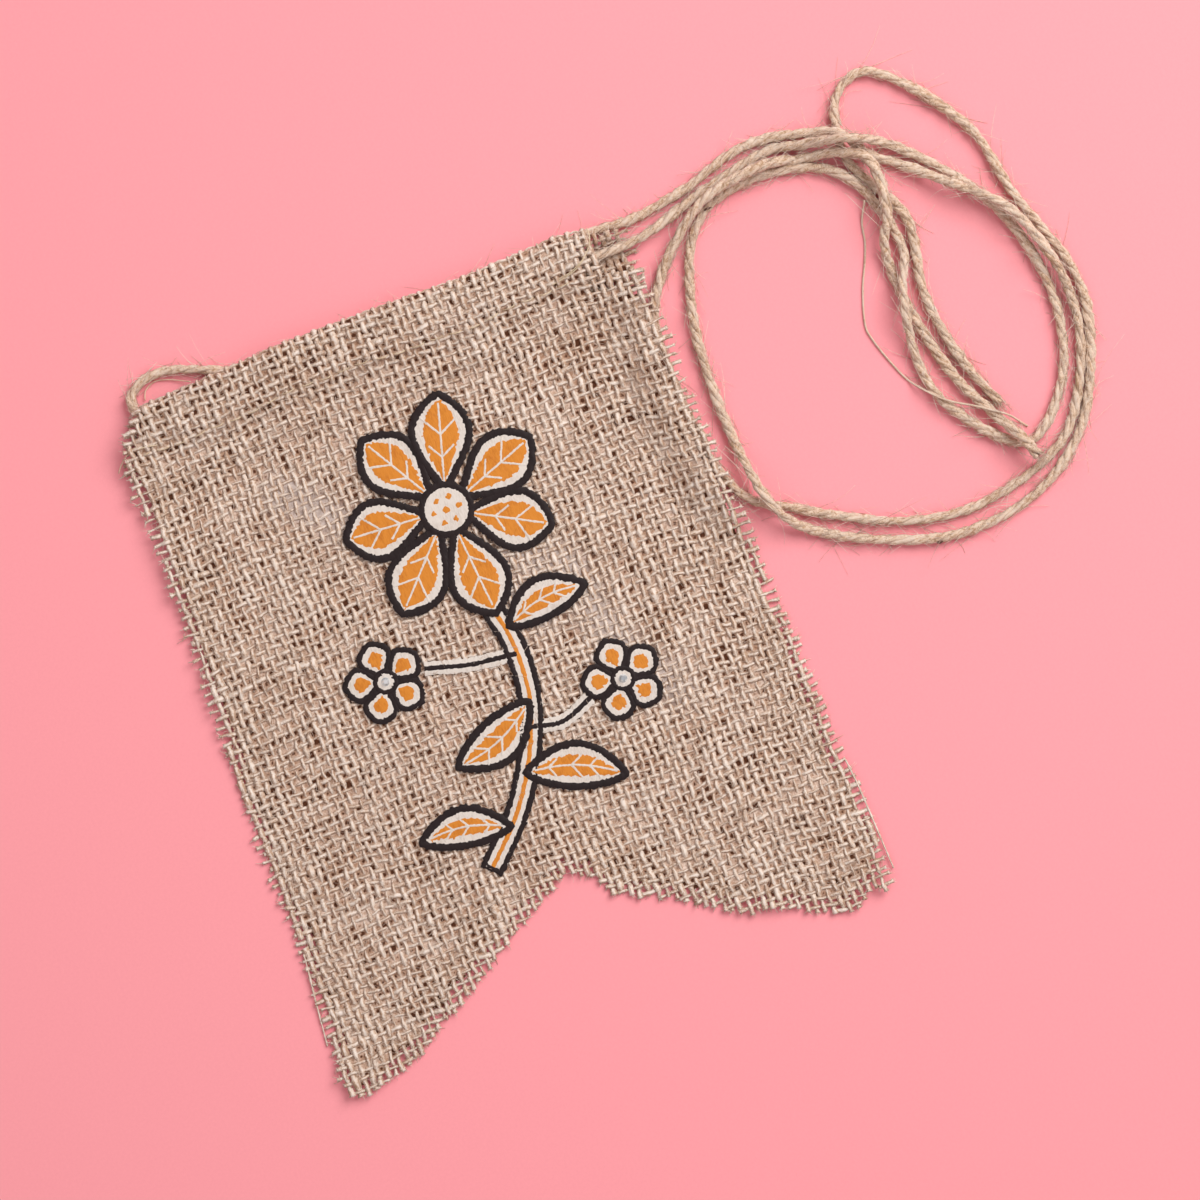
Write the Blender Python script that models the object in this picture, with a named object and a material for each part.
"""A small hessian pennant with a swallow tail, hemmed over a jute twine, lying flat.

The cloth lies face up on the surface, with its warp along Y. Its top edge is folded to
the back as a pocket, and one twine runs through that pocket. To the left the twine makes
a small loop and comes back beneath the hem, and to the right both halves lie in large
loose loops and end cut. Sizes are in millimetres and MM turns them into metres.
"""

import math

import bpy
import numpy as np

MM = 0.001

# The cloth
CLOTH_THICK = 1.2
CLOTH_MIDDLE = CLOTH_THICK / 2  # height of the middle of cloth that lies on the surface
GAP = 0.3  # clear space between pieces that touch
HEM_DEPTH = 18.0  # from the fold to the raw edge of the turned-back strip
STITCH_AT = 12.0  # from the fold to the line of stitches
HEM_END = 21.0  # from the fold to where the front layer is down on the surface
BODY_TOP = 65.5  # Y below which the cloth is a single layer

# The twine
TWINE = 2.8
TWINE_R = TWINE / 2
POCKET_Z = CLOTH_THICK + GAP + TWINE_R  # the twine's middle in the pocket
OVER_CORD = TWINE_R + GAP + CLOTH_MIDDLE  # from a twine's middle to the middle of cloth round it
CORD_LIFT = TWINE + GAP  # how far the cloth rises to pass over a twine

# Outline of the cloth: the edge's place at each height or width
TOP_EDGE = [(-60, 88.6), (-40, 89.4), (-20, 90.5), (5, 90.4), (25, 89.7), (50, 90.8), (58, 90.0), (70, 89.6)]
LEFT_EDGE = [
    (-91, -71.4), (-85, -72.1), (-65, -70.8), (-51, -70.0), (-15, -70.7), (58, -67.4), (70, -68.3),
    (75, -67.5), (79, -65.5), (83, -62.5), (86, -57.0), (87.5, -55.4), (89, -54.8),
]
RIGHT_EDGE = [
    (-88, 71.0), (-72, 72.2), (-5, 69.8), (13, 69.2), (31, 68.5), (41, 67.6), (54, 67.9),
    (67, 67.8), (73, 66.6), (76, 67.2), (90, 67.2),
]
TAIL_EDGE = [
    (-71.5, -89.2), (-66, -90.7), (-60, -87.2), (-52, -84.0), (-36, -74.3), (-22.5, -66.3),
    (-5.5, -56.8), (-2, -54.8), (3, -58.5), (6, -63.5), (21.5, -71.9), (35, -80.6), (42.5, -81.6),
    (57, -88.6), (61.5, -89.4), (65.5, -85.6), (71, -88.2),
]
TAIL_WIDTH = (-71.5, 71.0)

# The fold and the turned-back strip, first where the hem lies on the surface and then on a twine
FOLD_CENTRE = (2.9, 2.0)  # from the top edge to the middle of the fold's round
FOLD_HALF_HEIGHT = (OVER_CORD, 1.0)
STRIP_COMES_DOWN = (3.2, 6.2)  # from the top edge, where the strip comes down off a twine beneath it
CREST_REACH = 1.8  # how far past the middle of the pocket's twine the front layer stays level
PRESSED_FROM = 0.3  # from the strip's raw edge to where the front layer starts down

# The right end of the pocket, where the front layer and the fold are cut away
NOTCH_COLUMNS = 2
NOTCH_BACK = 4.3  # from the top edge to where the single strip at the back begins
NOTCH_FRONT = 13.5  # from the top edge to where the front layer begins

# Where the hem, coming from the left, rises onto the twine beneath it
UNDER_STARTS = (-48.6, -39.6)

# Lines of the cloth's grid
COLUMNS = 26
BODY_ROWS = 23
BACK_ROWS = [18, 14, 10, 7.6, 6.2, 5.2, 4.2, 3.2]
FOLD_STEPS = 4
FRONT_ROWS = [3.8, 5.6, 7.4, 8.6, 9.6, 10.8, 12, 13.6, 16, 18.5, 21]

# Where single places of the cloth stand off the surface: x, y, reach and height
LIFTED = [
    (-70, 52, 30, 2.2), (-70, 18, 26, 1.2), (71, -87, 18, 1.6), (-71, -87, 18, 1.3),
    (40, -83, 14, 1.0), (-2, -52, 10, 0.6),
]

# How the cloth's right edge lies over the run of tail A that passes beneath it
UNDER_EDGE_RUN = slice(20, 26)  # that run's points in TAIL_A
EDGE_LIFT = CORD_LIFT + 0.15
EDGE_LIFT_REACH = (2.4, 13.0)  # from the twine's middle, where the lift starts to fall and where it ends
EDGE_LIFT_FADE = (78.0, 71.0)  # Y at which the lift is gone and at which it is whole

# Routes of the twine: x, y and, where it isn't down on the surface, the height of its middle
IN_HEM = [
    (-54.7, 85.2, POCKET_Z), (-50, 83.0, POCKET_Z), (-46, 81.8, POCKET_Z), (-39.5, 81.6, POCKET_Z),
    (-20, 83.0, POCKET_Z), (5, 83.0, POCKET_Z), (25, 82.4, POCKET_Z), (45, 83.2, POCKET_Z),
    (55.2, 82.5, POCKET_Z),
]
LEFT_LOOP = [
    (-55, 85.3, POCKET_Z), (-58.1, 85.3, 2.85), (-60.9, 87.3, 2.5), (-61.7, 90.9, 1.7), (-60.6, 94.1),
    (-56.8, 95.6), (-51.5, 95.0), (-46, 93.2), (-41.5, 91.4), (-37, 89.4),
    (-31.5, 87.8), (-24, 87.8), (-12, 88.2), (2, 88.2), (16, 87.7),
    (30, 87.5), (41, 88.2), (50, 88.5),
]
TAIL_A = [
    (50.3, 88.5), (62.5, 88.5), (68.5, 88), (84, 90.5), (98, 95),
    (107.5, 95.5), (118.5, 92.3, 2.5), (124.3, 89.3, 4.9), (129.5, 82, 1.8), (136, 77),
    (144, 69.5, 3.9), (156, 58, 4.6), (161.5, 43.5, 3.6), (162.5, 37.5, 1.9), (161.5, 25.5),
    (156.5, 12), (147.5, 0), (124, -7.5), (106.5, -5), (92.5, 1.5),
    (80.5, 8.5), (72, 14), (67, 25), (65.2, 43),
    (66, 63), (71.5, 72.5), (79.5, 80.5, 3.4), (88, 86, 4.8), (104.5, 88.6, 4.4),
    (113, 87.1, 1.7), (122, 85, 4.7), (128.5, 81, 5.4), (128, 66, 4.8), (125.6, 62, 4.0), (124.5, 55),
    (125.5, 41.5), (130, 23), (135, 12.5, 1.8), (139.5, 3.5, 5.1), (141.5, -1.5, 4.8),
]
TAIL_B = [
    (55.5, 82.5, POCKET_Z), (69.8, 82.9, 3.0), (89.5, 88.5), (107.5, 91.7), (114.5, 90.1, 2.7),
    (125.5, 87, 8.1), (134.5, 83, 2), (148, 68.5), (159, 39), (158, 26),
    (153, 12.5), (141, 2.5), (125.5, 18), (122.5, 30), (125, 48, 5.2),
    (129, 58, 1.9), (123.5, 76.2), (115, 83.1), (96, 85.8), (84, 81),
    (75.5, 62), (73.5, 32), (77, 9.5, 5.0), (83.5, 1.5, 1.8),
    (108, -10.5), (124.5, -12), (141.5, -7.5), (155.5, 3), (165.5, 26),
    (166, 38.5), (159, 61), (154.5, 80), (135.5, 101.5), (127, 98),
    (124, 83.6), (128.9, 74.3), (132.6, 64.5), (130, 44.5), (133, 26.5),
    (138.5, 13.5),
]
POINTS_A_TUBE = 80
TUBE_STEP = (3.6, 8.4)  # shortest and longest step between a tube's points
STEP_PER_BEND = 0.75  # a step's length as a share of the bend's radius

# The glass crystals: x, y and their size
CRYSTALS = [(-27.0, 4.0), (27.5, -16.0)]
CRYSTAL_WIDE = 2.2
CRYSTAL_HIGH = 1.0
CRYSTAL_TABLE = 1.1
CRYSTAL_SIDES = 12

# Colour, roughness and metallic value
HESSIAN = ((0.50, 0.36, 0.23, 1.0), 0.95, 0.0)
JUTE = ((0.47, 0.34, 0.19, 1.0), 0.95, 0.0)
GLASS = ((0.80, 0.84, 0.86, 1.0), 0.05, 0.0)


def smooth_step(low, high, value):
    """0 at low, 1 at high, with a soft start and end."""
    t = min(1.0, max(0.0, (value - low) / (high - low)))
    return t * t * (3 - 2 * t)


def along(table, value):
    """The value read between a table's rows."""
    keys = [row[0] for row in table]
    return float(np.interp(value, keys, [row[1] for row in table]))


def smooth_curve(route, per=24):
    """Points along the centripetal Catmull-Rom curve through a route, never beneath the surface."""
    p = np.array([(*row, TWINE_R)[:3] for row in route])
    p = np.vstack([2 * p[0] - p[1], p, 2 * p[-1] - p[-2]])
    points = []
    for p0, p1, p2, p3 in zip(p, p[1:], p[2:], p[3:]):
        t1 = math.sqrt(np.linalg.norm(p1 - p0))
        t2 = t1 + math.sqrt(np.linalg.norm(p2 - p1))
        t3 = t2 + math.sqrt(np.linalg.norm(p3 - p2))
        for t in np.linspace(t1, t2, per, endpoint=False):
            a1 = (t1 - t) / t1 * p0 + t / t1 * p1
            a2 = (t2 - t) / (t2 - t1) * p1 + (t - t1) / (t2 - t1) * p2
            a3 = (t3 - t) / (t3 - t2) * p2 + (t - t2) / (t3 - t2) * p3
            b1 = (t2 - t) / t2 * a1 + t / t2 * a2
            b2 = (t3 - t) / (t3 - t1) * a2 + (t - t1) / (t3 - t1) * a3
            points.append((t2 - t) / (t2 - t1) * b1 + (t - t1) / (t2 - t1) * b2)
    points.append(p[-2])
    curve = np.array(points)
    curve[:, 2] = np.maximum(curve[:, 2], TWINE_R)
    return curve


UNDER_EDGE = smooth_curve(TAIL_A[UNDER_EDGE_RUN], 12)[:, :2]


def tube_points(route):
    """The route's curve as a tube's points, closer together where it bends more."""
    curve = smooth_curve(route)
    steps = np.linalg.norm(np.diff(curve, axis=0), axis=1)
    s = np.concatenate([[0.0], np.cumsum(steps)])
    heading = np.diff(curve, axis=0) / steps[:, None]
    turn = np.arccos(np.clip((heading[:-1] * heading[1:]).sum(1), -1, 1)) / steps[1:]
    turn = np.convolve(np.pad(turn, 6, mode="edge"), np.full(11, 1 / 11), mode="same")[5:-5]
    step = np.clip(STEP_PER_BEND / np.maximum(turn, 1e-6), *TUBE_STEP)[: len(s)]
    count_at = np.concatenate([[0.0], np.cumsum(np.diff(s) / step[1:])])
    count = min(POINTS_A_TUBE - 1, max(2, math.ceil(count_at[-1])))
    stops = np.interp(np.linspace(0, count_at[-1], count + 1), count_at, s)
    return np.column_stack([np.interp(stops, s, curve[:, k]) for k in range(3)])


def material(name, look):
    """A plain Principled material."""
    colour, roughness, metallic = look
    made = bpy.data.materials.new(name)
    made.use_nodes = True
    shader = made.node_tree.nodes["Principled BSDF"]
    shader.inputs["Base Color"].default_value = colour
    shader.inputs["Roughness"].default_value = roughness
    shader.inputs["Metallic"].default_value = metallic
    return made


def add_object(name, data, look):
    data.materials.append(look)
    made = bpy.data.objects.new(name, data)
    bpy.context.scene.collection.objects.link(made)
    return made


def under_lift(x):
    """How far, from 0 to 1, the hem at this x rides on the twine that runs beneath it."""
    return smooth_step(*UNDER_STARTS, x)


def pocket_depth(x):
    """Distance from the fold to the middle of the twine in the pocket."""
    return max(FOLD_CENTRE[0], along(TOP_EDGE, x) - along(IN_HEM, x))


def fold_section(x):
    """The fold's centre below the top edge, its reach and half height, and the height of its foot."""
    lift = under_lift(x)
    centre = (1 - lift) * FOLD_CENTRE[0] + lift * FOLD_CENTRE[1]
    half_height = (1 - lift) * FOLD_HALF_HEIGHT[0] + lift * FOLD_HALF_HEIGHT[1]
    return centre, centre - CLOTH_MIDDLE, half_height, CLOTH_MIDDLE + lift * CORD_LIFT


def back_height(x, d):
    """Height of the turned-back strip's middle, d below the top edge."""
    return CLOTH_MIDDLE + (1 - smooth_step(*STRIP_COMES_DOWN, d)) * under_lift(x) * CORD_LIFT


def front_height(x, d):
    """Height of the front layer's middle, d below the top edge."""
    centre, _, half_height, foot = fold_section(x)
    at_fold = foot + 2 * half_height
    over_twine = POCKET_Z + OVER_CORD
    closed = CLOTH_MIDDLE + CLOTH_THICK + GAP
    crest = pocket_depth(x) + CREST_REACH
    if d <= crest:
        return at_fold + (over_twine - at_fold) * smooth_step(centre, crest, d)
    if d <= HEM_DEPTH:
        return over_twine + (closed - over_twine) * smooth_step(crest, STITCH_AT, d)
    return closed + (CLOTH_MIDDLE - closed) * smooth_step(HEM_DEPTH + PRESSED_FROM, HEM_END, d)


def stand_off(x, y):
    """How far the whole cloth stands off the surface at a place."""
    away = float(np.min(np.linalg.norm(UNDER_EDGE - (x, y), axis=1)))
    high = EDGE_LIFT * (1 - smooth_step(*EDGE_LIFT_REACH, away)) * smooth_step(*EDGE_LIFT_FADE, y)
    for at_x, at_y, reach, height in LIFTED:
        high = max(high, height * (1 - smooth_step(0, reach, math.hypot(x - at_x, y - at_y))))
    return high


def place(u, y):
    """The x of a column at a height."""
    left, right = along(LEFT_EDGE, y), along(RIGHT_EDGE, y)
    return left + u * (right - left)


def cloth_rows(u):
    """One column of the cloth's middle, from the strip's raw edge over the fold to the tail."""
    x = place(u, BODY_TOP)
    points = []
    for d in BACK_ROWS:
        y = along(TOP_EDGE, x) - d
        at = place(u, y)
        points.append((at, y, back_height(at, d) + stand_off(at, y)))
    for k in range(FOLD_STEPS + 1):
        angle = math.pi * (k / FOLD_STEPS - 0.5)
        y = along(TOP_EDGE, x)
        at = place(u, y)
        centre, reach, half_height, foot = fold_section(at)
        d = centre - reach * math.cos(angle)
        points.append((place(u, y - d), y - d, foot + half_height * (1 + math.sin(angle))))
    for d in FRONT_ROWS:
        y = along(TOP_EDGE, x) - d
        at = place(u, y)
        points.append((at, y, front_height(at, d) + stand_off(at, y)))
    tail = along(TAIL_EDGE, TAIL_WIDTH[0] + u * (TAIL_WIDTH[1] - TAIL_WIDTH[0]))
    for k in range(BODY_ROWS + 1):
        y = BODY_TOP + k / BODY_ROWS * (tail - BODY_TOP)
        at = place(u, y)
        points.append((at, y, CLOTH_MIDDLE + stand_off(at, y)))
    return points


def cut_away(row):
    """Whether the cells below this row are cut out at the right end of the pocket."""
    fold_from = len(BACK_ROWS) + FOLD_STEPS + 1
    if row < len(BACK_ROWS):
        return BACK_ROWS[row] < NOTCH_BACK
    if row < fold_from:
        return True
    return row - fold_from < len(FRONT_ROWS) and FRONT_ROWS[row - fold_from] < NOTCH_FRONT


def build_flag(look):
    """The cloth as one sheet with its hem, given its thickness by a Solidify modifier."""
    columns = [cloth_rows(c / COLUMNS) for c in range(COLUMNS + 1)]
    rows = len(columns[0])
    points = [tuple(v * MM for v in p) for column in columns for p in column]
    faces = []
    for c in range(COLUMNS):
        for r in range(rows - 1):
            if c >= COLUMNS - NOTCH_COLUMNS and cut_away(r):
                continue
            a, b = c * rows + r, (c + 1) * rows + r
            faces.append((a, a + 1, b + 1, b))
    used = sorted({index for face in faces for index in face})
    renumber = {old: new for new, old in enumerate(used)}
    mesh = bpy.data.meshes.new("flag")
    mesh.from_pydata(
        [points[i] for i in used], [], [tuple(renumber[i] for i in face) for face in faces]
    )
    mesh.validate()
    mesh.shade_smooth()
    flag = add_object("flag", mesh, look)
    solid = flag.modifiers.new("thickness", "SOLIDIFY")
    solid.thickness = CLOTH_THICK * MM
    solid.offset = 0.0
    return flag


def build_twine(name, route, look):
    """A plain round tube along a stretch of the twine."""
    points = tube_points(route)
    curve = bpy.data.curves.new(name, "CURVE")
    curve.dimensions = "3D"
    curve.bevel_depth = TWINE_R * MM
    curve.bevel_resolution = 2
    curve.use_fill_caps = True
    spline = curve.splines.new("POLY")
    spline.points.add(len(points) - 1)
    for slot, point in zip(spline.points, points):
        slot.co = (*(float(v) * MM for v in point), 1.0)
    return add_object(name, curve, look)


def build_crystal(name, at, look):
    """A flat-backed cut crystal with a table on top."""
    foot = CLOTH_THICK + GAP
    rings = [(CRYSTAL_WIDE / 2, 0.0), (CRYSTAL_WIDE / 2, 0.25), (CRYSTAL_TABLE / 2, CRYSTAL_HIGH)]
    points = []
    for radius, height in rings:
        for k in range(CRYSTAL_SIDES):
            turn = 2 * math.pi * k / CRYSTAL_SIDES
            points.append((radius * math.cos(turn) * MM, radius * math.sin(turn) * MM, height * MM))
    faces = [tuple(reversed(range(CRYSTAL_SIDES)))]
    for ring in range(len(rings) - 1):
        for k in range(CRYSTAL_SIDES):
            a, b = ring * CRYSTAL_SIDES + k, ring * CRYSTAL_SIDES + (k + 1) % CRYSTAL_SIDES
            faces.append((a, b, b + CRYSTAL_SIDES, a + CRYSTAL_SIDES))
    faces.append(tuple(range((len(rings) - 1) * CRYSTAL_SIDES, len(rings) * CRYSTAL_SIDES)))
    mesh = bpy.data.meshes.new(name)
    mesh.from_pydata(points, [], faces)
    crystal = add_object(name, mesh, look)
    crystal.location = (at[0] * MM, at[1] * MM, foot * MM)
    return crystal


def main():
    for old in list(bpy.data.objects):
        bpy.data.objects.remove(old)
    hessian = material("hessian", HESSIAN)
    jute = material("jute_twine", JUTE)
    glass = material("crystal_glass", GLASS)
    build_flag(hessian)
    build_twine("twine_in_hem", IN_HEM, jute)
    build_twine("twine_left_loop", LEFT_LOOP, jute)
    build_twine("twine_tail_a", TAIL_A, jute)
    build_twine("twine_tail_b", TAIL_B, jute)
    for number, at in enumerate(CRYSTALS, 1):
        build_crystal(f"crystal_{number}", at, glass)


main()
